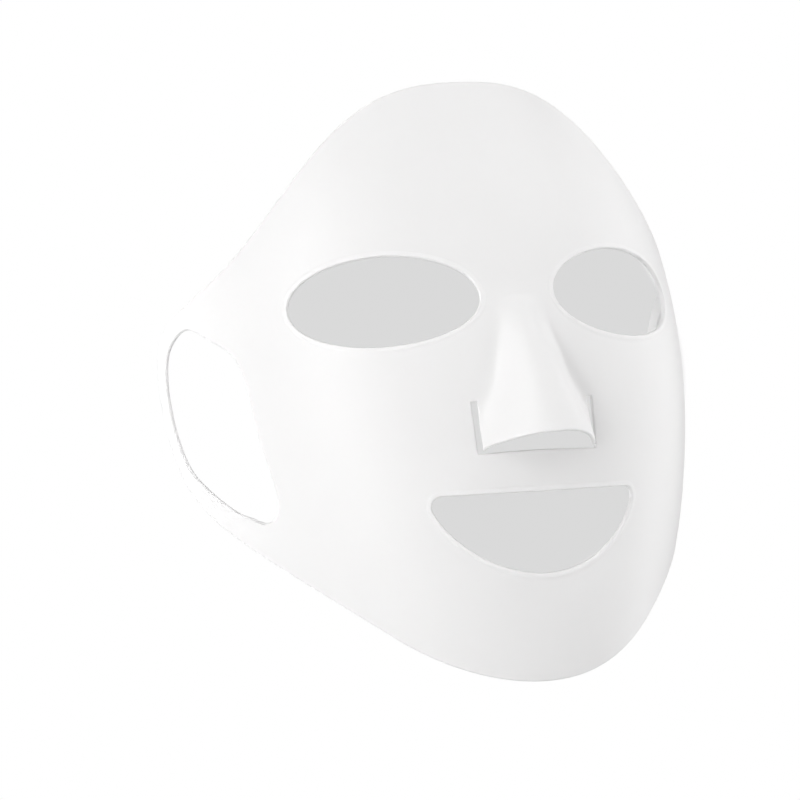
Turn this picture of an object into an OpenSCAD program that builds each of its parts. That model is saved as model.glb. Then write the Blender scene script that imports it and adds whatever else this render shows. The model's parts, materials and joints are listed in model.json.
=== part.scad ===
// Silicone face mask cover: one thin moulded sheet that wraps the wearer's face. It has openings
// for the eyes and the mouth, a nose flap that is free at its sides and its foot, and a loop on
// each side that goes round the ear. Each zone of the sheet that bends by itself is a solid of its
// own, and the zones of the face meet edge to edge.
// Frame: +Z up, the face looks along -Y and +X is the wearer's left. The origin is on the inner
// side of the sheet, at the bridge of the nose, where the mask sits on the wearer.
// A place on the sheet is [w, z]: w is the distance round the face from its middle line.

/* [Face form] */
// Half width of the mask from its middle to the outside of the cheek
half_w = 82; // [69:1:98]
// Depth of the wrap from the front of the face to the ears
wrap_d = 76; // [64:1:91]
// Thickness of the moulded sheet
sheet_t = 1.2; // [1:0.1:1.6]
// Radius of the upright curve of the face, seen from the side
profile_r = 222; // [185:1:266]
// Level below the origin at which the face is furthest forward
front_drop = 27; // [20:1:34]
// Radius by which the mask narrows towards its top and its chin
taper_r = 330; // [275:1:396]
// Radius by which the wrap deepens towards its top and its chin
deepen_r = 370; // [309:1:444]

/* [Forehead and chin] */
// Height of the forehead's top edge above the origin
brow_h = 65; // [54:1:78]
// Distance round the face at which the top edge has come down by two thirds
brow_w = 67; // [56:1:80]
// Radius of the chin's lower edge
chin_r = 90; // [75:1:108]
// Height of the sheet below the mouth
chin_h = 30; // [25:0.5:36]

/* [Eye openings] */
// Width of the sheet between the two eye openings
bridge_w = 23; // [19.5:0.5:27.5]
// Width of an eye opening, round the face
eye_w = 55; // [45:1:66]
// Height of an eye opening
eye_h = 27; // [22.5:0.5:32.5]
// Depth of the eye openings' centres below the origin
eye_drop = 2; // [0:0.5:4]
// Tilt of an eye opening, outer end up, in degrees
eye_tilt = 3; // [0:0.5:6]

/* [Mouth opening] */
// Width of the mouth opening, round the face
mouth_w = 71; // [59.5:0.5:85]
// Height of the mouth opening
mouth_h = 23; // [19:0.5:27.5]
// Rise of its upper edge from the middle to the two corners
mouth_rise = 1.2; // [1:0.1:1.4]
// Radius of its two upper corners
mouth_r = 3; // [2:0.5:4]
// Height of the sheet between the nose opening and the mouth
lip_h = 12; // [10:0.5:14.5]

/* [Nose] */
// Length of the nose from the origin down to its foot
nose_l = 49.5; // [41.5:0.5:59.5]
// Width of the nose at its foot, slits included
nose_w = 39; // [33:0.5:46]
// Height that the nose stands out at its foot
nose_h = 16.5; // [13.5:0.5:20]
// Height of the slit on each side of the nose flap
slit_h = 15; // [12.5:0.5:18]
// Width of a slit
slit_w = 1.9; // [1.6:0.1:2.3]
// Rise of the flap's lower edge at its middle
flap_rise = 2.6; // [2:0.1:3.2]

/* [Ear loops] */
// Width of the sheet between an eye opening and the fold of the side wing
temple_w = 7.5; // [6:0.5:9]
// Width of the side wing between its fold and the ear opening
wing_w = 11; // [9.5:0.5:13]
// Width of the ear opening, round the face
ear_w = 37; // [31:0.5:44.5]
// Height of the ear opening
ear_h = 61; // [51:1:73]
// Height of the ear opening's top above the origin
ear_top = 2.5; // [0.5:0.5:5]
// Width of the band behind the ear
loop_w = 5.5; // [4.5:0.5:6.5]

/* [Edges and folds] */
// Width of the raised rim round an opening
rim_w = 1.6; // [1.2:0.1:2]
// Height that a rim stands proud of each side of the sheet
rim_p = 0.15; // [0.1:0.05:0.2]
// Clearance at the fold of a wing and of the nose flap
fold_gap = 0.8; // [0.6:0.1:1]
// Clearance at the two roots of an ear loop
root_gap = 1.2; // [1:0.1:1.5]

/* [Hidden] */

silicone = "WhiteSmoke";

// Shape of the edges: how steeply the top edge comes down, how far it ends above the ear opening and how
// far the jaw's edge passes below it, in band widths, how much the band widens towards its two roots,
// and how full the mouth's lower edge is
brow_power = 2.9;
edge_rise = 1.15;
root_flare = 1.4;
root_web = 0.8;
web_from = 0.55;
web_to = 0.9;
upper_web = 0.33;
upper_to = 0.015;
lip_power = 1.4;

// Places on the sheet
wrap_r = (half_w + wrap_d) / 2;
eye_x = bridge_w / 2 + eye_w / 2;
fold_x = bridge_w / 2 + eye_w + temple_w;
ear_x = fold_x + wing_w;
root_x = ear_x + ear_w / 4;
foot_z = -nose_l;
slit_z = foot_z + slit_h;
mouth_z = foot_z - lip_h;
chin_z = mouth_z - mouth_h - chin_h;
edge_base = ear_top + edge_rise * loop_w;

// Steps along each shared edge
eye_steps = 14;
arc_steps = 4;
lip_steps = 5;
jaw_steps = 7;
mouth_steps = 24;
seam_steps = 12;
spline_steps = 4;

function lerp(a, b, t) = a * (1 - t) + b * t;
function clamp(x) = min(1, max(0, x));
function ease(t) = clamp(t) * clamp(t) * (3 - 2 * clamp(t));
function flip(points) = [for (i = [len(points) - 1:-1:0]) [-points[i][0], points[i][1]]];
function tail(points) = [for (i = [1:1:len(points) - 1]) points[i]];
function line(a, b, n) = [for (i = [0:n]) lerp(a, b, i / n)];
function both_sides(half) = concat(flip(half), tail(half));

// The face's form: half width, wrap depth and upright profile at each level
function width_at(z) = half_w - pow(z - 10, 2) / (2 * taper_r);
function depth_at(z) = wrap_d + pow(z + 30, 2) / (2 * deepen_r);
function front_at(z) = (pow(z + front_drop, 2) - pow(front_drop, 2)) / (2 * profile_r);
function wrap_angle(w) = abs(w) / wrap_r * 180 / PI;
function form(w, z) =
    let (turn = min(90, wrap_angle(w)), past = max(0, wrap_angle(w) - 90) * PI / 180)
    [
        sign(w) * width_at(z) * sin(turn),
        front_at(z) + depth_at(z) * (1 - cos(turn) + past),
        z
    ];

// The nose: how far it stands out of the form
nose_top = eye_point(180, rim_w)[1];
nose_soft = 0.05;
ridge_power = 0.85;
function nose_part(z) = clamp((nose_top - z) / (nose_top - foot_z));
// Half width of the bridge and flap zones, down to the slits, and of the part that stands out
function slit_part(z) = min(1, max(0, (nose_top - z) / (nose_top - slit_z)));
function nose_half(z) =
    lerp(eye_point(180, rim_w)[0], nose_w / 2, slit_part(z) * ease(slit_part(z)));
function flank_half(z) =
    min(nose_half(z), lerp(eye_point(180, rim_w)[0], nose_w / 2, ease(nose_part(z))));
function ridge(t) =
    nose_h * pow((t - nose_soft * (1 - exp(-t / nose_soft))) / (1 - nose_soft), ridge_power);
function flank(w, z) =
    pow(max(0, cos(90 * min(1, abs(w) / flank_half(z)))), lerp(2, 1.15, ease((slit_z - z) / slit_h)));
function nose_out(w, z) = ridge(nose_part(z)) * flank(w, z);

// A point on the sheet, h above its inner side
step = 0.05;
function skin(w, z, nose) =
    form(w, z) + (nose ? nose_out(w, z) * square_to(w, z, false) : [0, 0, 0]);
function square_to(w, z, nose) =
    let (across = skin(w + step, z, nose) - skin(w - step, z, nose))
    let (up = skin(w, z + step, nose) - skin(w, z - step, nose))
    let (n = cross(across, up))
    n / norm(n);
function place(p, h, nose) = skin(p[0], p[1], nose) + h * square_to(p[0], p[1], nose);

// Edges of the sheet
function top_edge(w) = edge_base + (brow_h - edge_base) * exp(-pow(abs(w) / brow_w, brow_power));
// The jaw's straight edge leaves the chin's arc and passes below the root of the ear loop
jaw_to = [root_x, ear_top - ear_h - root_flare * loop_w - chin_z - chin_r];
jaw_angle = atan2(jaw_to[1], jaw_to[0]) + asin(chin_r / norm(jaw_to));
jaw_w = chin_r * sin(jaw_angle);
function low_edge(w) =
    abs(w) < jaw_w
        ? chin_z + chin_r - sqrt(chin_r * chin_r - w * w)
        : chin_z + chin_r * (1 - cos(jaw_angle)) + (abs(w) - jaw_w) * tan(jaw_angle);
function eye_point(a, grow) =
    let (p = (eye_w / 2 + grow) * cos(a), q = (eye_h / 2 + grow) * sin(a))
    [
        eye_x + p * cos(eye_tilt) - q * sin(eye_tilt),
        -eye_drop + p * sin(eye_tilt) + q * cos(eye_tilt)
    ];
function eye_arc(from, to, grow) =
    [for (i = [0:eye_steps]) eye_point(lerp(from, to, i / eye_steps), grow)];

mouth_side_z = mouth_z + mouth_rise - mouth_r;
mouth_roof_w = mouth_w / 2 - mouth_r;
function mouth_corner(grow) =
    [for (i = [0:arc_steps])
        let (a = 90 - 90 * i / arc_steps)
        [mouth_roof_w, mouth_side_z] + (mouth_r + grow) * [cos(a), sin(a)]];
function mouth_roof(grow) =
    [for (i = [0:mouth_steps / 2])
        let (u = i * 2 / mouth_steps)
        [u * mouth_roof_w, mouth_z + grow + mouth_rise * u * u]];
function mouth_top(grow) = both_sides(concat(mouth_roof(grow), tail(mouth_corner(grow))));
function mouth_low(grow) =
    [for (i = [0:mouth_steps])
        let (a = 180 + 180 * i / mouth_steps)
        [
            (mouth_w / 2 + grow) * cos(a),
            mouth_side_z - (mouth_h + mouth_rise - mouth_r + grow) * pow(abs(sin(a)), lip_power)
        ]];

// A smooth curve through a few points
function bend(p0, p1, p2, p3, t) =
    0.5 * (2 * p1 + (p2 - p0) * t + (2 * p0 - 5 * p1 + 4 * p2 - p3) * t * t
        + (3 * p1 - p0 - 3 * p2 + p3) * t * t * t);
function through(points) =
    let (n = len(points) - 1)
    [for (i = [0:n]) for (s = [0:(i < n ? spline_steps - 1 : 0)])
        i == n
            ? points[n]
            : bend(points[max(0, i - 1)], points[i], points[i + 1], points[min(n, i + 2)],
                s / spline_steps)];

// The ear opening, in shares of its width from the front and of its height from the top
function ear_spot(u, v) = [ear_x + u * ear_w, ear_top - v * ear_h];
root_top_z = ear_spot(0, 0.09)[1];
root_low_z = ear_spot(0, 0.955)[1];
function ear_front(x) = through([
    [x, root_top_z], ear_spot(0.07, 0.19), ear_spot(0.005, 0.35), ear_spot(0, 0.6),
    ear_spot(-0.055, 0.865), ear_spot(-0.02, 0.965), ear_spot(0.1, 0.995), [x, root_low_z]
]);
ear_turns = [[0.46, 0], [0.66, 0.015], [0.86, 0.1], [0.985, 0.27], [1, 0.47], [0.9, 0.64],
    [0.68, 0.775], [0.42, 0.9]];
ear_middle = ear_spot(0.5, 0.45);
function ear_back(x) =
    through(concat(
        [[x, root_top_z]],
        [for (t = ear_turns) ear_spot(t[0], t[1])],
        [[x, root_low_z]]
    ));
function band_w(v) =
    let (lower = pow(max(0, (v - web_from) / (web_to - web_from)), 2), upper = max(0, 1 - v / upper_to))
    loop_w * (1 + root_web * lower + upper_web * upper);
function loop_edge(x) =
    through(concat(
        [[x, top_edge(x)]],
        [for (t = ear_turns)
            let (p = ear_spot(t[0], t[1]), out = p - ear_middle)
            p + band_w(t[1]) * out / norm(out)],
        [[x, low_edge(x)]]
    ));

// Shared edges of the panels, on the wearer's left
eye_end = eye_point(0, rim_w);
eye_start = eye_point(180, rim_w);
mouth_side = [mouth_w / 2 + rim_w, mouth_side_z];
nose_foot = [nose_w / 2, foot_z];
fold_eye = [fold_x, eye_end[1]];
fold_mouth = [fold_x, mouth_side_z];
lip_side = line(nose_foot, mouth_corner(rim_w)[0], lip_steps);
jaw_line = line(mouth_side, fold_mouth, jaw_steps);
bridge_line = line([0, nose_top], eye_start, arc_steps);
temple_line = line(eye_end, fold_eye, 2);
nose_side = [for (i = [0:seam_steps])
    let (z = lerp(nose_top, foot_z, i / seam_steps))
    [nose_half(z), z]];

// A four-sided grid of places that follows the edges given for its foot, head and two sides
function patch(foot, head, first, last) =
    let (m = len(foot) - 1, n = len(first) - 1)
    [for (j = [0:n]) [for (i = [0:m])
        let (u = i / m, v = j / n)
        lerp(foot[i], head[i], v) + lerp(first[j], last[j], u)
            - lerp(lerp(foot[0], foot[m], u), lerp(head[0], head[m], u), v)]];

// A closed solid between two skins over a grid of places
module sheet(grid, nose = false) {
    m = len(grid[0]);
    n = len(grid);
    function at(i, j, k) = k * m * n + j * m + i;
    skins = [for (k = [0, 1]) for (row = grid) for (p = row) place(p, k * sheet_t, nose)];
    inner = [for (j = [0:n - 2]) for (i = [0:m - 2])
        each [[at(i, j, 0), at(i + 1, j, 0), at(i + 1, j + 1, 0)],
            [at(i, j, 0), at(i + 1, j + 1, 0), at(i, j + 1, 0)]]];
    outer = [for (f = inner) [f[2] + m * n, f[1] + m * n, f[0] + m * n]];
    rim = concat(
        [for (i = [0:m - 2]) at(i, 0, 0)],
        [for (j = [0:n - 2]) at(m - 1, j, 0)],
        [for (i = [m - 1:-1:1]) at(i, n - 1, 0)],
        [for (j = [n - 1:-1:1]) at(0, j, 0)]
    );
    walls = [for (i = [0:len(rim) - 1])
        let (a = rim[i], b = rim[(i + 1) % len(rim)])
        each [[a, a + m * n, b + m * n], [a, b + m * n, b]]];
    polyhedron(points = skins, faces = concat(inner, outer, walls));
}

// A closed bead between an opening's edge and the edge of the sheet round it
module bead(hole, edge) {
    n = len(hole);
    profile = [
        [1, 0], [1, sheet_t], [0.7, sheet_t + rim_p], [0.3, sheet_t + rim_p],
        [0, 0.7 * sheet_t], [0, 0.3 * sheet_t], [0.3, -rim_p], [0.7, -rim_p]
    ];
    m = len(profile);
    points = [for (i = [0:n - 1]) for (q = profile) place(lerp(hole[i], edge[i], q[0]), q[1], false)];
    faces = [for (i = [0:n - 1]) for (k = [0:m - 1])
        let (a = i * m + k, b = i * m + (k + 1) % m)
        let (c = ((i + 1) % n) * m + k, d = ((i + 1) % n) * m + (k + 1) % m)
        each [[a, b, d], [a, d, c]]];
    polyhedron(points = points, faces = faces);
}

module forehead_panel() {
    half = concat(bridge_line, tail(eye_arc(180, 0, rim_w)), tail(temple_line));
    foot = both_sides(half);
    head = [for (p = foot) [p[0], top_edge(p[0])]];
    last = line(fold_eye, [fold_x, top_edge(fold_x)], seam_steps);
    color(silicone) sheet(patch(foot, head, [for (p = last) [-p[0], p[1]]], last));
}

module nose_bridge() {
    rows = seam_steps * 2;
    color(silicone) sheet([for (j = [0:rows])
        let (z = lerp(slit_z, nose_top, j / rows))
        both_sides(line([0, z], [nose_half(z), z], 12))], nose = true);
}

module nose_flap() {
    rows = 10;
    top = slit_z - fold_gap;
    function side(z) = nose_half(z) - slit_w;
    function foot(u) = foot_z + slit_w / 3 + flap_rise * pow(cos(90 * u), 0.6);
    color(silicone) sheet([for (j = [0:rows])
        both_sides([for (i = [0:12])
            let (u = i / 12, z = lerp(foot(u), top, j / rows))
            [u * side(z), z]])], nose = true);
}

module upper_lip_panel() {
    foot = both_sides(mouth_roof(rim_w));
    m = len(foot) - 1;
    head = line([-nose_foot[0], foot_z], nose_foot, m);
    last = [for (i = [lip_steps:-1:0]) lip_side[i]];
    color(silicone) sheet(patch(foot, head, [for (p = last) [-p[0], p[1]]], last));
}

module chin_panel() {
    head = concat(flip(tail(jaw_line)), mouth_low(rim_w), tail(jaw_line));
    foot = [for (p = head) [p[0], low_edge(p[0])]];
    last = line([fold_x, low_edge(fold_x)], fold_mouth, jaw_steps);
    color(silicone) sheet(patch(foot, head, [for (p = last) [-p[0], p[1]]], last));
}

module left_cheek_panel() {
    head = concat(eye_arc(180, 360, rim_w), tail(temple_line));
    foot = concat(lip_side, tail(mouth_corner(rim_w)), tail(jaw_line));
    first = [for (i = [seam_steps:-1:0]) nose_side[i]];
    last = line(fold_mouth, fold_eye, seam_steps);
    color(silicone) sheet(patch(foot, head, first, last));
}

module right_cheek_panel() {
    mirror([1, 0, 0]) left_cheek_panel();
}

module left_eye_rim() {
    function ring(grow) = concat(eye_arc(0, 180, grow), tail(eye_arc(180, 360, grow)));
    hole = ring(0);
    edge = ring(rim_w);
    n = len(hole) - 1;
    color(silicone) bead([for (i = [n:-1:1]) hole[i]], [for (i = [n:-1:1]) edge[i]]);
}

module right_eye_rim() {
    mirror([1, 0, 0]) left_eye_rim();
}

module mouth_rim() {
    function ring(grow) = concat(mouth_top(grow), tail([for (i = [mouth_steps:-1:1]) mouth_low(grow)[i]]));
    color(silicone) bead(ring(0), ring(rim_w));
}

module left_wing() {
    x = root_x - root_gap / 2;
    front = ear_front(x);
    upper = tail(line([x, top_edge(x)], front[0], 4));
    lower = tail(line(front[len(front) - 1], [x, low_edge(x)], 4));
    edge = concat([[x, top_edge(x)]], upper, tail(front), lower);
    n = len(edge) - 1;
    last = [for (i = [n:-1:0]) edge[i]];
    start = fold_x + fold_gap;
    first = line([start, low_edge(start)], [start, top_edge(start)], n);
    foot = [for (i = [0:6]) let (w = lerp(start, x, i / 6)) [w, low_edge(w)]];
    head = [for (i = [0:6]) let (w = lerp(start, x, i / 6)) [w, top_edge(w)]];
    color(silicone) sheet(patch(foot, head, first, last));
}

module right_wing() {
    mirror([1, 0, 0]) left_wing();
}

module left_ear_loop() {
    x = root_x + root_gap / 2;
    inner = ear_back(x);
    outer = loop_edge(x);
    color(silicone) sheet([for (i = [0:len(inner) - 1]) line(inner[i], outer[i], 3)]);
}

module right_ear_loop() {
    mirror([1, 0, 0]) left_ear_loop();
}

forehead_panel();
nose_bridge();
nose_flap();
upper_lip_panel();
chin_panel();
right_cheek_panel();
left_cheek_panel();
right_eye_rim();
left_eye_rim();
mouth_rim();
right_wing();
left_wing();
right_ear_loop();
left_ear_loop();
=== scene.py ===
"""Silicone face mask cover: one continuous soft sheet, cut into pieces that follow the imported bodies."""
import json
import math

import bpy
import numpy as np
from mathutils import Matrix, Vector


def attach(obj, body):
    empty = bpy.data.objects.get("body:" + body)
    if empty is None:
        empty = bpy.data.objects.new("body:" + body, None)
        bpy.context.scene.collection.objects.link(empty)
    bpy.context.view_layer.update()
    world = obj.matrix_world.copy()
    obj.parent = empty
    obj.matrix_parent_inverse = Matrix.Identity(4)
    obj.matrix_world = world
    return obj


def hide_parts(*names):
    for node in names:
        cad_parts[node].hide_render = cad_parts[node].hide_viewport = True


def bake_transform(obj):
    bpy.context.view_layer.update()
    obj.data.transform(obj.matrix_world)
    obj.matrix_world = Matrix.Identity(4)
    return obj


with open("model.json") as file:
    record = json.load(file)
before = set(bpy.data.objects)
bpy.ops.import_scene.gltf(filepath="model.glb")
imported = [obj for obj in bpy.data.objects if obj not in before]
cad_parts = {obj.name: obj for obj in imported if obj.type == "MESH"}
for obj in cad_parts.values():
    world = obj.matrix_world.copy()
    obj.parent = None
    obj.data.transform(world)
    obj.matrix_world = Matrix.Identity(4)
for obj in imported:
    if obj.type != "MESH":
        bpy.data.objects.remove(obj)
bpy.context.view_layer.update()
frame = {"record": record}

MM = 0.001

# Driving dimensions of the sheet, in millimetres and degrees
HALF_W = 82
WRAP_D = 76
SHEET_T = 1.2
PROFILE_R = 222
FRONT_DROP = 27
TAPER_R = 330
DEEPEN_R = 370
BROW_H = 65
BROW_W = 67
CHIN_R = 90
CHIN_H = 30
BRIDGE_W = 23
EYE_W = 55
EYE_H = 27
EYE_DROP = 2
EYE_TILT = math.radians(3)
MOUTH_W = 71
MOUTH_H = 23
MOUTH_RISE = 1.2
MOUTH_R = 3
LIP_H = 12
NOSE_L = 49.5
NOSE_W = 39
NOSE_H = 16.5
SLIT_H = 15
SLIT_W = 1.9
FLAP_RISE = 2.6
TEMPLE_W = 7.5
WING_W = 11
EAR_W = 37
EAR_H = 61
EAR_TOP = 2.5
LOOP_W = 5.5
RIM_W = 1.6
RIM_P = 0.15

# Levels where the form is widest and where it is shallowest
WIDEST_Z = 10
SHALLOW_Z = -30

# Shape of the edges
BROW_POWER = 2.9
EDGE_RISE = 1.15
ROOT_FLARE = 1.4
ROOT_WEB = 0.8
WEB_FROM = 0.55
WEB_TO = 0.9
UPPER_WEB = 0.33
UPPER_TO = 0.015
LIP_POWER = 1.4
FLAP_POWER = 0.6

# Shape of the nose: how softly it starts, how its ridge climbs, and how its flanks fall away.
# Above the slits its crest is flatter and its flanks steeper than the arch at its foot.
NOSE_SOFT = 0.05
RIDGE_POWER = 0.85
FLANK_POWER_TOP = 2
FLANK_POWER_FOOT = 1.15
CREST_MIX = 0.75
CREST_FLAT = 0.05
CREST_FALL = 0.75
CREST_ABOVE_SLIT = 8
CREST_FADE = 13
SLIT_OPENING = 1.2

# Places that follow from them
WRAP_R = (HALF_W + WRAP_D) / 2
EYE_X = (BRIDGE_W + EYE_W) / 2
FOLD_X = BRIDGE_W / 2 + EYE_W + TEMPLE_W
EAR_X = FOLD_X + WING_W
ROOT_X = EAR_X + EAR_W / 4
FOOT_Z = -NOSE_L
SLIT_Z = FOOT_Z + SLIT_H
MOUTH_Z = FOOT_Z - LIP_H
CHIN_Z = MOUTH_Z - MOUTH_H - CHIN_H
EDGE_BASE = EAR_TOP + EDGE_RISE * LOOP_W
MOUTH_SIDE_Z = MOUTH_Z + MOUTH_RISE - MOUTH_R
MOUTH_ROOF_W = MOUTH_W / 2 - MOUTH_R
SEAM_X = FOLD_X - 4.4

# Mesh steps along each stretch
BRIDGE_N = 20
EYE_N = 44
TEMPLE_N = 2
LIP_N = 12
CORNER_N = 8
JAW_N = EYE_N + TEMPLE_N - LIP_N - CORNER_N
ROOF_N = 20
MOUTH_N = 56
FOREHEAD_N = 34
NOSE_N = 30
SLIT_N = 14
CHIN_N = 26
BAND_N = 9
GROOVES = 3
GROOVE_D = 0.1
LOOP_N = 16
WING_N = 26
EDGE_N = 8

# The rounded edge goes this far in, which has to be less than one row of the band's mesh
EDGE_DEPTH = 0.5

# Shares of a rim's width where its mesh has rows: close together where the bead rises
RIM_SHARES = np.array([0, 0.62, 0.76, 0.88, 1])

# Points closer than this are one point, and the shift keeps them off the rounding limits
WELD_STEP = 0.001
WELD_SHIFT = 0.137

# The points that a seam is sampled at
SEAM_SAMPLES = 40


def ease(t):
    t = np.clip(t, 0, 1)
    return t * t * (3 - 2 * t)


def line(a, b, n):
    t = np.linspace(0, 1, n + 1)[:, None]
    return np.array(a, float) * (1 - t) + np.array(b, float) * t


def join(*stretches):
    """Stretches end to end, with each shared point kept once."""
    return np.vstack([stretches[0]] + [s[1:] for s in stretches[1:]])


def both_sides(half):
    """A line from the middle outwards, with its mirror image in front of it."""
    return join(half[::-1] * [-1, 1], half)


def form(w, z):
    """The face's form: the inner side of the sheet at the distance w round the face and the level z."""
    angle = np.abs(w) / WRAP_R
    turn = np.minimum(angle, math.pi / 2)
    past = np.maximum(angle - math.pi / 2, 0)
    width = HALF_W - (z - WIDEST_Z) ** 2 / (2 * TAPER_R)
    depth = WRAP_D + (z - SHALLOW_Z) ** 2 / (2 * DEEPEN_R)
    front = ((z + FRONT_DROP) ** 2 - FRONT_DROP**2) / (2 * PROFILE_R)
    return np.stack(
        [np.sign(w) * width * np.sin(turn), front + depth * (1 - np.cos(turn) + past), z], -1
    )


def eye_point(a, grow):
    p = (EYE_W / 2 + grow) * np.cos(a)
    q = (EYE_H / 2 + grow) * np.sin(a)
    c, s = math.cos(EYE_TILT), math.sin(EYE_TILT)
    return np.stack([EYE_X + p * c - q * s, -EYE_DROP + p * s + q * c], -1)


def eye_arc(first, last, grow):
    return eye_point(np.radians(np.linspace(first, last, EYE_N + 1)), grow)


NOSE_TOP = float(eye_point(math.pi, RIM_W)[1])
NOSE_TOP_HALF = float(eye_point(math.pi, RIM_W)[0])


def nose_part(z):
    return np.clip((NOSE_TOP - z) / (NOSE_TOP - FOOT_Z), 0, 1)


def nose_half(z):
    t = np.clip((NOSE_TOP - z) / (NOSE_TOP - SLIT_Z), 0, 1)
    return NOSE_TOP_HALF + (NOSE_W / 2 - NOSE_TOP_HALF) * t * ease(t)


def flank_half(z):
    widening = NOSE_TOP_HALF + (NOSE_W / 2 - NOSE_TOP_HALF) * ease(nose_part(z))
    return np.minimum(nose_half(z), widening)


def nose_out(w, z):
    """How far the nose stands out of the form."""
    t = nose_part(z)
    start = (t - NOSE_SOFT * (1 - np.exp(-t / NOSE_SOFT))) / (1 - NOSE_SOFT)
    ridge = NOSE_H * start**RIDGE_POWER
    power = FLANK_POWER_TOP + (FLANK_POWER_FOOT - FLANK_POWER_TOP) * ease((SLIT_Z - z) / SLIT_H)
    share = np.minimum(1, np.abs(w) / flank_half(z))
    arch = np.maximum(np.cos(math.pi / 2 * share), 0) ** power
    crest = 1 - ease((share - CREST_FLAT) / CREST_FALL)
    upper = CREST_MIX * (1 - ease((SLIT_Z + CREST_ABOVE_SLIT - z) / CREST_FADE))
    return ridge * (arch * (1 - upper) + crest * upper)


def square_to(w, z):
    """Directions square to the form, outwards."""
    step = 0.05
    across = form(w + step, z) - form(w - step, z)
    up = form(w, z + step) - form(w, z - step)
    n = np.cross(across, up)
    return n / np.linalg.norm(n, axis=-1, keepdims=True)


def top_edge(w):
    return EDGE_BASE + (BROW_H - EDGE_BASE) * np.exp(-((np.abs(w) / BROW_W) ** BROW_POWER))


JAW_TO = np.array([ROOT_X, EAR_TOP - EAR_H - ROOT_FLARE * LOOP_W - CHIN_Z - CHIN_R])
JAW_ANGLE = math.atan2(JAW_TO[1], JAW_TO[0]) + math.asin(CHIN_R / np.hypot(*JAW_TO))
JAW_W = CHIN_R * math.sin(JAW_ANGLE)


def low_edge(w):
    w = np.abs(w)
    arc = CHIN_Z + CHIN_R - np.sqrt(CHIN_R**2 - np.minimum(w, JAW_W) ** 2)
    return arc + np.maximum(w - JAW_W, 0) * math.tan(JAW_ANGLE)


def mouth_corner(grow):
    a = np.radians(np.linspace(90, 0, CORNER_N + 1))
    middle = [MOUTH_ROOF_W, MOUTH_SIDE_Z]
    return middle + (MOUTH_R + grow) * np.stack([np.cos(a), np.sin(a)], -1)


def mouth_roof(grow):
    u = np.linspace(0, 1, ROOF_N + 1)
    return np.stack([u * MOUTH_ROOF_W, MOUTH_Z + grow + MOUTH_RISE * u * u], -1)


def mouth_low(grow):
    a = np.radians(np.linspace(180, 360, MOUTH_N + 1))
    drop = (MOUTH_H + MOUTH_RISE - MOUTH_R + grow) * np.abs(np.sin(a)) ** LIP_POWER
    return np.stack([(MOUTH_W / 2 + grow) * np.cos(a), MOUTH_SIDE_Z - drop], -1)


def through(points, n):
    """A smooth curve through a few points, n steps between each two."""
    p = np.array(points, float)
    last = len(p) - 1
    out = []
    for i in range(last):
        p0, p1, p2, p3 = p[max(0, i - 1)], p[i], p[i + 1], p[min(last, i + 2)]
        for k in range(n):
            t = k / n
            out.append(
                0.5 * (2 * p1 + (p2 - p0) * t + (2 * p0 - 5 * p1 + 4 * p2 - p3) * t**2
                       + (3 * p1 - p0 - 3 * p2 + p3) * t**3)
            )
    return np.array(out + [p[-1]])


def even(points, n):
    """The same line in n steps of equal length."""
    run = np.concatenate([[0], np.cumsum(np.linalg.norm(np.diff(points, axis=0), axis=1))])
    at = np.linspace(0, run[-1], n + 1)
    return np.stack([np.interp(at, run, points[:, k]) for k in (0, 1)], -1)


def ear_spot(u, v):
    """A place in the ear opening, in shares of its width from the front and of its height from the top."""
    return [EAR_X + u * EAR_W, EAR_TOP - v * EAR_H]


ROOT_TOP = [ROOT_X, ear_spot(0, 0.09)[1]]
ROOT_LOW = [ROOT_X, ear_spot(0, 0.955)[1]]
EAR_FRONT = [(0.07, 0.19), (0.005, 0.35), (0, 0.6), (-0.055, 0.865), (-0.02, 0.965), (0.1, 0.995)]
EAR_BACK = [(0.46, 0), (0.66, 0.015), (0.86, 0.1), (0.985, 0.27), (1, 0.47), (0.9, 0.64),
            (0.68, 0.775), (0.42, 0.9)]


def ear_front():
    return through([ROOT_TOP] + [ear_spot(*t) for t in EAR_FRONT] + [ROOT_LOW], LOOP_N)


def ear_back():
    return through([ROOT_TOP] + [ear_spot(*t) for t in EAR_BACK] + [ROOT_LOW], LOOP_N)


def band_w(v):
    """Width of the band behind the ear, which widens towards its two roots."""
    lower = max(0, (v - WEB_FROM) / (WEB_TO - WEB_FROM)) ** 2
    upper = max(0, 1 - v / UPPER_TO)
    return LOOP_W * (1 + ROOT_WEB * lower + UPPER_WEB * upper)


def loop_edge():
    middle = np.array(ear_spot(0.5, 0.45))
    turns = []
    for t in EAR_BACK:
        p = np.array(ear_spot(*t))
        turns.append(p + band_w(t[1]) * (p - middle) / np.linalg.norm(p - middle))
    ends = [[ROOT_X, top_edge(ROOT_X)]], [[ROOT_X, low_edge(ROOT_X)]]
    return through([*ends[0], *turns, *ends[1]], LOOP_N)


def patch(foot, head, first, last):
    """A four-sided grid of places that follows its four edges."""
    u = np.linspace(0, 1, len(foot))[None, :, None]
    v = np.linspace(0, 1, len(first))[:, None, None]
    corners = (foot[0] * (1 - u) + foot[-1] * u) * (1 - v) + (head[0] * (1 - u) + head[-1] * u) * v
    return foot[None] * (1 - v) + head[None] * v + first[:, None] * (1 - u) + last[:, None] * u - corners


def ladder(a, b, shares):
    """Rows between the lines a and b, at the given shares of the way."""
    return np.array([a * (1 - s) + b * s for s in shares])


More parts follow.
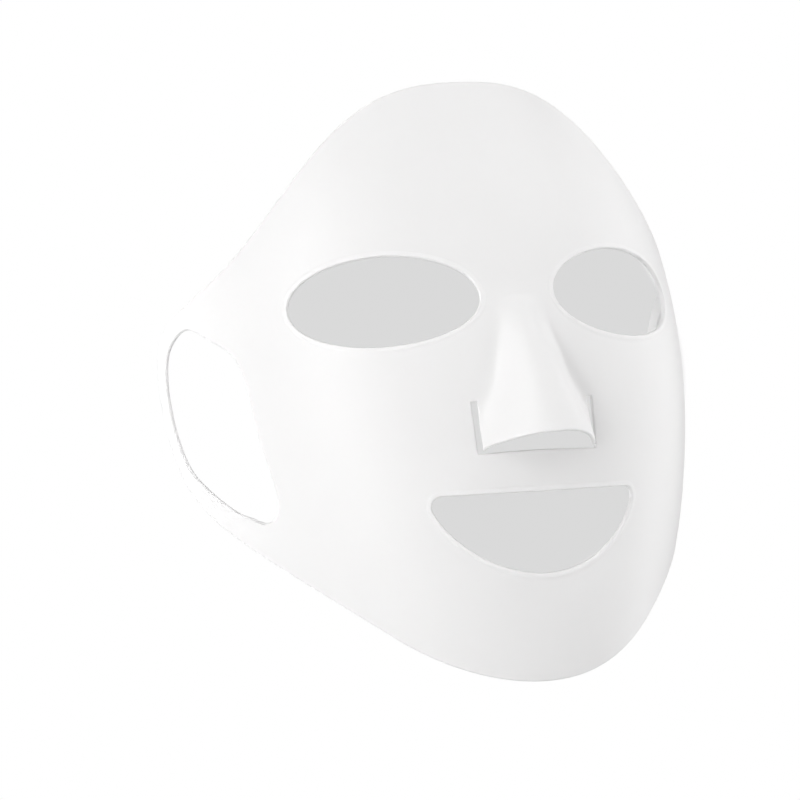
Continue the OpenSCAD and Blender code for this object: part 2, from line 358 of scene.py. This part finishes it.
def zones():
    """Every zone of the sheet as (name, grid of places, whether it stands out as the nose)."""
    eye_end = eye_point(0.0, RIM_W)
    eye_start = eye_point(math.pi, RIM_W)
    corner = mouth_corner(RIM_W)
    nose_foot = np.array([NOSE_W / 2, FOOT_Z])
    seam_eye = np.array([SEAM_X, eye_end[1]])
    seam_mouth = np.array([SEAM_X, MOUTH_SIDE_Z])
    seam_top = np.array([SEAM_X, float(top_edge(SEAM_X))])
    seam_low = np.array([SEAM_X, float(low_edge(SEAM_X))])
    lip_side = line(nose_foot, corner[0], LIP_N)
    jaw_line = line(corner[-1], seam_mouth, JAW_N)
    temple = line(eye_end, seam_eye, TEMPLE_N)
    above_slit = np.linspace(NOSE_TOP, SLIT_Z, NOSE_N + 1)
    levels = np.concatenate([above_slit, np.linspace(SLIT_Z, FOOT_Z, SLIT_N + 1)[1:]])
    nose_side = np.stack([nose_half(levels), levels], -1)

    foot = both_sides(join(line([0, NOSE_TOP], eye_start, BRIDGE_N), eye_arc(180, 0, RIM_W), temple))
    head = np.stack([foot[:, 0], top_edge(foot[:, 0])], -1)
    side = line(seam_eye, seam_top, FOREHEAD_N)
    yield "forehead", patch(foot, head, side * [-1, 1], side), False

    head = join(jaw_line[::-1] * [-1, 1], mouth_low(RIM_W), jaw_line)
    foot = np.stack([head[:, 0], low_edge(head[:, 0])], -1)
    side = line(seam_low, seam_mouth, CHIN_N)
    yield "chin", patch(foot, head, side * [-1, 1], side), False

    roof = both_sides(mouth_roof(RIM_W))
    head = line(nose_foot * [-1, 1], nose_foot, 2 * ROOF_N)
    yield "upper_lip", patch(roof, head, lip_side[::-1] * [-1, 1], lip_side[::-1]), False

    opened = ease((NOSE_TOP - above_slit) / (NOSE_TOP - SLIT_Z) * SLIT_OPENING)
    slit = SLIT_W * (1 + opened) / 2
    share = np.linspace(0, 1, BRIDGE_N - 1)
    rows = []
    for z, half, gap in zip(above_slit, nose_half(above_slit), slit):
        w = np.concatenate([share * (half - gap), [half - gap / 2, half]])
        if z == levels[0]:
            w = np.linspace(0, half, BRIDGE_N + 1)
        rows.append(both_sides(np.stack([w, np.full_like(w, z)], -1)))
    yield "nose_bridge", np.array(rows)[::-1], True

    across = np.concatenate([-share[::-1], share[1:]])
    drop = np.linspace(0, 1, SLIT_N + 1)
    lowest = FOOT_Z + SLIT_W / 3 + FLAP_RISE * np.cos(math.pi / 2 * np.abs(across)) ** FLAP_POWER
    rows = []
    for d in drop:
        z = SLIT_Z * (1 - d) + lowest * d
        rows.append(np.stack([across * (nose_half(z) - SLIT_W), z], -1))
    yield "nose_flap", np.array(rows)[::-1], True

    n = len(levels) - 1 + FOREHEAD_N + CHIN_N - 2 * BAND_N
    root_top = [ROOT_X, float(top_edge(ROOT_X))]
    root_low = [ROOT_X, float(low_edge(ROOT_X))]
    seam = join(line(seam_low, seam_mouth, CHIN_N), line(seam_mouth, seam_eye, len(levels) - 1),
                line(seam_eye, seam_top, FOREHEAD_N))
    ear = join(line(root_low, ROOT_LOW, BAND_N), even(ear_front(), n)[::-1], line(ROOT_TOP, root_top, BAND_N))
    w = np.linspace(SEAM_X, ROOT_X, WING_N + 1)
    foot, head = np.stack([w, low_edge(w)], -1), np.stack([w, top_edge(w)], -1)
    wing = patch(foot, head, seam, ear)
    loop = ladder(ear_back(), loop_edge(), np.linspace(0, 1, BAND_N + 1)).transpose(1, 0, 2)

    head = join(eye_arc(180, 360, RIM_W), temple)
    foot = join(lip_side, corner, jaw_line)
    cheek = patch(foot, head, nose_side[::-1], line(seam_mouth, seam_eye, len(levels) - 1))

    full = np.radians(np.linspace(0, 360, 2 * EYE_N + 1))
    eye_rim = ladder(eye_point(full, 0), eye_point(full, RIM_W), RIM_SHARES)
    for side, flip in (("left", 1), ("right", -1)):
        for name, grid in (("cheek", cheek), ("wing", wing), ("ear_loop", loop), ("eye_rim", eye_rim)):
            grid = grid * [flip, 1]
            yield f"{side}_{name}", grid, False

    def ring(grow):
        top = both_sides(join(mouth_roof(grow), mouth_corner(grow)))
        return join(top, mouth_low(grow)[::-1])

    yield "mouth_rim", ladder(ring(0), ring(RIM_W), RIM_SHARES), False


def facing(grid, nose):
    """The grid's places in space on the inner side of the sheet, and its quads turned outwards."""
    w, z = grid[..., 0], grid[..., 1]
    out = square_to(w, z)
    points = form(w, z) + (nose_out(w, z)[..., None] * out if nose else 0)
    rows, cols = w.shape
    index = np.arange(rows * cols).reshape(rows, cols)
    quads = np.stack([index[:-1, :-1], index[:-1, 1:], index[1:, 1:], index[1:, :-1]], -1).reshape(-1, 4)
    flat = points.reshape(-1, 3)
    turn = np.cross(flat[quads[:, 2]] - flat[quads[:, 0]], flat[quads[:, 3]] - flat[quads[:, 1]])
    if (turn * out.reshape(-1, 3)[quads[:, 0]]).sum() < 0:
        quads = quads[:, ::-1]
    return flat, quads


def corner_normals(points, quads):
    """Normals at the points, weighted by the area of the quads round them."""
    turn = np.cross(points[quads[:, 2]] - points[quads[:, 0]], points[quads[:, 3]] - points[quads[:, 1]])
    normals = np.zeros_like(points)
    for k in range(4):
        np.add.at(normals, quads[:, k], turn)
    return normals / np.maximum(np.linalg.norm(normals, axis=1, keepdims=True), 1e-12)


GROOVE_FADE = 9


def band_groove(name, shape):
    """Depth of the fine grooves that run along the ear bands and fade out at their roots."""
    rows, cols = np.meshgrid(np.linspace(0, 1, shape[0]), np.linspace(0, 1, shape[1]), indexing="ij")
    if not name.endswith("loop"):
        return 0 * rows
    ends = ease(rows * GROOVE_FADE) * ease((1 - rows) * GROOVE_FADE)
    return GROOVE_D * ends * (1 - np.cos(2 * math.pi * GROOVES * cols)) / 2


def weld(points, quads, extra):
    """Joins points that lie together, and keeps the extra value of each."""
    keys = np.round(points / WELD_STEP + WELD_SHIFT).astype(np.int64)
    _, first, joined = np.unique(keys, axis=0, return_index=True, return_inverse=True)
    return points[first], joined.reshape(-1)[quads], extra[first]


def free_edges(quads):
    """The edges that only one quad has, in its direction, and that quad's number."""
    a = quads.ravel()
    b = np.roll(quads, -1, axis=1).ravel()
    own = np.repeat(np.arange(len(quads)), 4)
    edges = np.stack([a, b], 1)
    _, back, count = np.unique(np.sort(edges, axis=1), axis=0, return_inverse=True, return_counts=True)
    free = count[back.reshape(-1)] == 1
    return edges[free], own[free]


def whole_sheet():
    """The sheet as one closed mesh: points, quads, each quad's zone, and the zones' names."""
    points, quads, zone, groove, names = [], [], [], [], []
    start = 0
    for number, (name, grid, nose) in enumerate(zones()):
        flat, faces = facing(grid, nose)
        names.append(name)
        points.append(flat)
        groove.append(band_groove(name, grid.shape[:2]).ravel())
        quads.append(faces + start)
        zone.append(np.full(len(faces), number))
        start += len(flat)
    points, quads, groove = weld(np.vstack(points), np.vstack(quads), np.concatenate(groove))
    zone = np.concatenate(zone)

    rim = [i for i, n in enumerate(names) if n.endswith("rim")]
    thick = np.full(len(points), SHEET_T / 2)
    bead = np.unique(quads[np.isin(zone, rim)])
    plain = np.unique(quads[~np.isin(zone, rim)])
    normal = corner_normals(points, quads)
    middle = points + normal * SHEET_T / 2
    thick[np.setdiff1d(bead, plain)] += RIM_P
    thick -= groove

    edges, owner = free_edges(quads)
    after = np.full(len(points), -1)
    before = np.full(len(points), -1)
    after[edges[:, 0]] = edges[:, 1]
    before[edges[:, 1]] = edges[:, 0]
    rimmed = edges[:, 0]
    along = middle[after[rimmed]] - middle[before[rimmed]]
    outward = np.cross(along, normal[rimmed])
    outward /= np.linalg.norm(outward, axis=1, keepdims=True)
    middle[rimmed] -= outward * EDGE_DEPTH

    count = len(middle)
    outer = middle + normal * thick[:, None]
    inner = middle - normal * thick[:, None]
    turn = np.linspace(0, math.pi, EDGE_N + 1)[1:-1]
    place = np.full(count, -1)
    place[rimmed] = np.arange(len(rimmed))
    rounded = [
        middle[rimmed] + normal[rimmed] * (thick[rimmed] * math.cos(a))[:, None]
        + outward * EDGE_DEPTH * math.sin(a)
        for a in turn
    ]
    everything = np.vstack([outer, inner, *rounded])

    def ring(k, vertex):
        """Where step k of the rounded edge puts a point: the outer side first, the inner side last."""
        if k == 0:
            return vertex
        if k == EDGE_N:
            return vertex + count
        return 2 * count + (k - 1) * len(rimmed) + place[vertex]

    faces = [quads, quads[:, ::-1] + count]
    zones_of = [zone, zone]
    for k in range(EDGE_N):
        a, b = edges[:, 0], edges[:, 1]
        faces.append(np.stack([ring(k, b), ring(k, a), ring(k + 1, a), ring(k + 1, b)], 1))
        zones_of.append(zone[owner])
    return everything, np.vstack(faces), np.concatenate(zones_of), names


def piece_of(name, points, normals, quads):
    """A smooth Blender mesh of the given quads, with the whole sheet's normals so that seams stay unseen."""
    used, local = np.unique(quads, return_inverse=True)
    local = local.reshape(-1, 4)
    mesh = bpy.data.meshes.new(name)
    mesh.from_pydata((points[used] * MM).tolist(), [], local.tolist())
    mesh.polygons.foreach_set("use_smooth", np.ones(len(local), bool))
    mesh.normals_split_custom_set_from_vertices(normals[used].tolist())
    piece = bpy.data.objects.new(name, mesh)
    bpy.context.scene.collection.objects.link(piece)
    return piece


# Materials

def silicone(name, tint, roughness):
    """Soft satin silicone: fine moulding grain, faint cloudiness and a slightly uneven gloss."""
    mat = bpy.data.materials.new(name)
    mat.use_nodes = True
    nodes, links = mat.node_tree.nodes, mat.node_tree.links
    shader = nodes["Principled BSDF"]
    where = nodes.new("ShaderNodeTexCoord")

    def noise(scale, detail):
        n = nodes.new("ShaderNodeTexNoise")
        n.inputs["Scale"].default_value = scale
        n.inputs["Detail"].default_value = detail
        links.new(where.outputs["Object"], n.inputs["Vector"])
        return n

    def ramp(source, low, high):
        r = nodes.new("ShaderNodeValToRGB")
        r.color_ramp.elements[0].position = 0.3
        r.color_ramp.elements[1].position = 0.7
        r.color_ramp.elements[0].color = (*low, 1)
        r.color_ramp.elements[1].color = (*high, 1)
        links.new(source.outputs["Fac"], r.inputs["Fac"])
        return r

    cloud = ramp(noise(28, 3), [c * 0.985 for c in tint], tint)
    links.new(cloud.outputs["Color"], shader.inputs["Base Color"])
    gloss = nodes.new("ShaderNodeMapRange")
    gloss.inputs["To Min"].default_value = roughness - 0.02
    gloss.inputs["To Max"].default_value = roughness + 0.03
    links.new(noise(90, 4).outputs["Fac"], gloss.inputs["Value"])
    links.new(gloss.outputs["Result"], shader.inputs["Roughness"])
    grain = nodes.new("ShaderNodeBump")
    grain.inputs["Strength"].default_value = 0.06
    grain.inputs["Distance"].default_value = 0.00008
    links.new(noise(2600, 2).outputs["Fac"], grain.inputs["Height"])
    links.new(grain.outputs["Normal"], shader.inputs["Normal"])
    shader.inputs["IOR"].default_value = 1.42
    return mat


def plain(name, color):
    mat = bpy.data.materials.new(name)
    mat.use_nodes = True
    shader = mat.node_tree.nodes["Principled BSDF"]
    shader.inputs["Base Color"].default_value = (*color, 1)
    shader.inputs["Roughness"].default_value = 0.9
    return mat


# The pieces

SHEET = silicone("soft_silicone", (0.84, 0.835, 0.835), 0.42)
# The rims are the same silicone as the sheet; their slightly lighter tint is a painted highlight along each
# opening's edge
RIM = silicone("rim_silicone", (0.86, 0.855, 0.855), 0.4)
NODE_OF = {"forehead": "forehead_panel", "chin": "chin_panel", "upper_lip": "upper_lip_panel",
           "left_cheek": "left_cheek_panel", "right_cheek": "right_cheek_panel"}


def bend(piece, way):
    """Bakes the piece's placement into its mesh and leaves its shape as it is; the argument way is not used.
    """
    points = np.array([v.co for v in piece.data.vertices])
    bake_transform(piece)


points, quads, zone, names = whole_sheet()
normals = corner_normals(points, quads)
pieces = {}
for number, name in enumerate(names):
    node = NODE_OF.get(name, name)
    piece = piece_of(f"{node}_skin", points, normals, quads[zone == number])
    piece.data.materials.append(RIM if name.endswith("rim") else SHEET)
    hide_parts(node)
    pieces[node] = piece

for node in frame["record"]["behaviour"]["bodies"]["face"]:
    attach(pieces[node], "face")


def way_round(side, w, z):
    """The level direction round the face, towards the back, at a place on the given side."""
    step = form(np.array(w + 0.5), np.array(z)) - form(np.array(w - 0.5), np.array(z))
    step = step * [side, 1, 0]
    return step / np.linalg.norm(step)


def seam_line(side, w):
    z = np.linspace(low_edge(w), top_edge(w), SEAM_SAMPLES)
    return form(np.full(SEAM_SAMPLES, w), z) * [side * MM, MM, MM]


for side, sign in (("left", 1), ("right", -1)):
    wing, loop = pieces[f"{side}_wing"], pieces[f"{side}_ear_loop"]
    seam_line(sign, SEAM_X)
    seam_line(sign, ROOT_X)
    bend(wing, way_round(sign, FOLD_X, -FRONT_DROP))
    bend(loop, way_round(sign, ROOT_X, -FRONT_DROP))
bend(pieces["nose_flap"], np.array([0, 0, -1.0]))

# The stage: a pale floor well below, soft lights and the camera

ground = plain("pale_floor", (0.74, 0.74, 0.74))
FLOOR_R = 6
FLOOR_Z = -0.55
bpy.ops.mesh.primitive_circle_add(vertices=96, radius=FLOOR_R, fill_type="NGON", location=(0, 0, FLOOR_Z))
floor = bpy.context.object
floor.name = "floor"
floor.data.materials.append(ground)

scene = bpy.context.scene
scene.view_settings.view_transform = "Standard"


def backdrop_with_painted_shade():
    """A white backdrop with a soft grey disc of painted shade straight behind the mask, seen by camera rays
    only, and even soft light from all round.
    """
    world = bpy.data.worlds.new("studio")
    scene.world = world
    world.use_nodes = True
    nodes, links = world.node_tree.nodes, world.node_tree.links
    light = nodes["Background"]
    light.inputs["Color"].default_value = (1, 1, 1, 1)
    light.inputs["Strength"].default_value = FILL_LIGHT
    where = nodes.new("ShaderNodeTexCoord")
    away = nodes.new("ShaderNodeVectorMath")
    away.operation = "DISTANCE"
    away.inputs[1].default_value = PAINTED_SHADE_TOWARDS
    links.new(where.outputs["Generated"], away.inputs[0])
    ramp = nodes.new("ShaderNodeMapRange")
    ramp.interpolation_type = "SMOOTHSTEP"
    ramp.inputs["From Min"].default_value = PAINTED_SHADE_INNER
    ramp.inputs["From Max"].default_value = PAINTED_SHADE_OUTER
    ramp.inputs["To Min"].default_value = PAINTED_SHADE_GREY
    ramp.inputs["To Max"].default_value = 1.0
    links.new(away.outputs["Value"], ramp.inputs["Value"])
    # What the camera sees behind the mask: the grey disc of painted shade, white round it
    seen = nodes.new("ShaderNodeBackground")
    links.new(ramp.outputs["Result"], seen.inputs["Color"])
    path = nodes.new("ShaderNodeLightPath")
    either = nodes.new("ShaderNodeMixShader")
    links.new(path.outputs["Is Camera Ray"], either.inputs["Fac"])
    links.new(light.outputs["Background"], either.inputs[1])
    links.new(seen.outputs["Background"], either.inputs[2])
    links.new(either.outputs["Shader"], nodes["World Output"].inputs["Surface"])


AIM = Vector((0, 0.035, -0.025))


def direction(azimuth, elevation):
    a, e = math.radians(azimuth), math.radians(elevation)
    return Vector((math.sin(a) * math.cos(e), -math.cos(a) * math.cos(e), math.sin(e)))


def softbox(name, azimuth, elevation, distance, width, height, power):
    """An area light that faces the mask and isn't seen itself."""
    lamp = bpy.data.lights.new(name, "AREA")
    lamp.shape = "RECTANGLE"
    lamp.size, lamp.size_y = width, height
    lamp.energy = power
    box = bpy.data.objects.new(name, lamp)
    away = direction(azimuth, elevation)
    box.location = AIM + away * distance
    box.rotation_mode = "QUATERNION"
    box.rotation_quaternion = away.to_track_quat("Z", "Y")
    box.visible_camera = False
    scene.collection.objects.link(box)


softbox("key", -54, 12, 1.5, 0.3, 1.6, 12.2)
softbox("key_edge", -62, 12, 1.5, 0.35, 1.6, 4.6)
softbox("front", 0, 5, 1.5, 0.9, 1.2, 1.9)
softbox("upper_left", -30, 45, 1.6, 0.9, 0.9, 1.7)
softbox("upper_right", 50, 45, 1.6, 0.9, 0.9, 6.6)
softbox("side", 82, 8, 1.5, 1.1, 1.6, 9.5)
softbox("far_side", 105, 8, 1.5, 0.7, 1.6, 4.9)
softbox("lower_right", 50, -25, 1.6, 0.9, 0.9, 11.8)
softbox("lower_left", -50, -30, 1.6, 0.9, 0.9, 4.6)
softbox("top", 0, 75, 1.6, 0.9, 0.9, 2.9)
softbox("behind", -150, 8, 1.6, 1.2, 1.2, 11)
softbox("left_back", -115, 10, 1.5, 0.8, 1.2, 4.4)

# The camera: below the eye line, on the wearer's right, rolled a little
CAMERA_AZIMUTH = -27.36
CAMERA_ELEVATION = -11.26
CAMERA_ROLL = math.radians(8.11)
CAMERA_DISTANCE = 1.508
CENTRE_LEFT = 0.03332
CENTRE_DOWN = 0.03389
back = np.array(direction(CAMERA_AZIMUTH, CAMERA_ELEVATION))
right = np.array([math.cos(math.radians(CAMERA_AZIMUTH)), math.sin(math.radians(CAMERA_AZIMUTH)), 0])
up = np.cross(back, right)
c, s = math.cos(CAMERA_ROLL), math.sin(CAMERA_ROLL)
right, up = c * right - s * up, s * right + c * up
place = back * CAMERA_DISTANCE
target = -right * CENTRE_LEFT - up * CENTRE_DOWN
back = (place - target) / np.linalg.norm(place - target)
right = right - back * (right @ back)
right /= np.linalg.norm(right)
up = np.cross(back, right)
lens = bpy.data.cameras.new("camera")
lens.lens = 233.5
lens.clip_start, lens.clip_end = 0.05, 50
camera = bpy.data.objects.new("camera", lens)
camera.matrix_world = Matrix([(*(r, u, b), p) for r, u, b, p in zip(right, up, back, place)] + [(0, 0, 0, 1)])
scene.collection.objects.link(camera)
scene.camera = camera

FILL_LIGHT = 0.05
# Grey of the painted shade straight behind the mask
PAINTED_SHADE_GREY = 0.70

# The grey disc is painted shade: it lies behind the eyes, nose and mouth, a little inside the mask's outline,
# so the openings read darker than the sheet
PAINTED_SHADE_TOWARDS = -back + right * 0.0137 + up * 0.0029
PAINTED_SHADE_TOWARDS /= np.linalg.norm(PAINTED_SHADE_TOWARDS)
PAINTED_SHADE_INNER = 0.0398
PAINTED_SHADE_OUTER = 0.0416
backdrop_with_painted_shade()
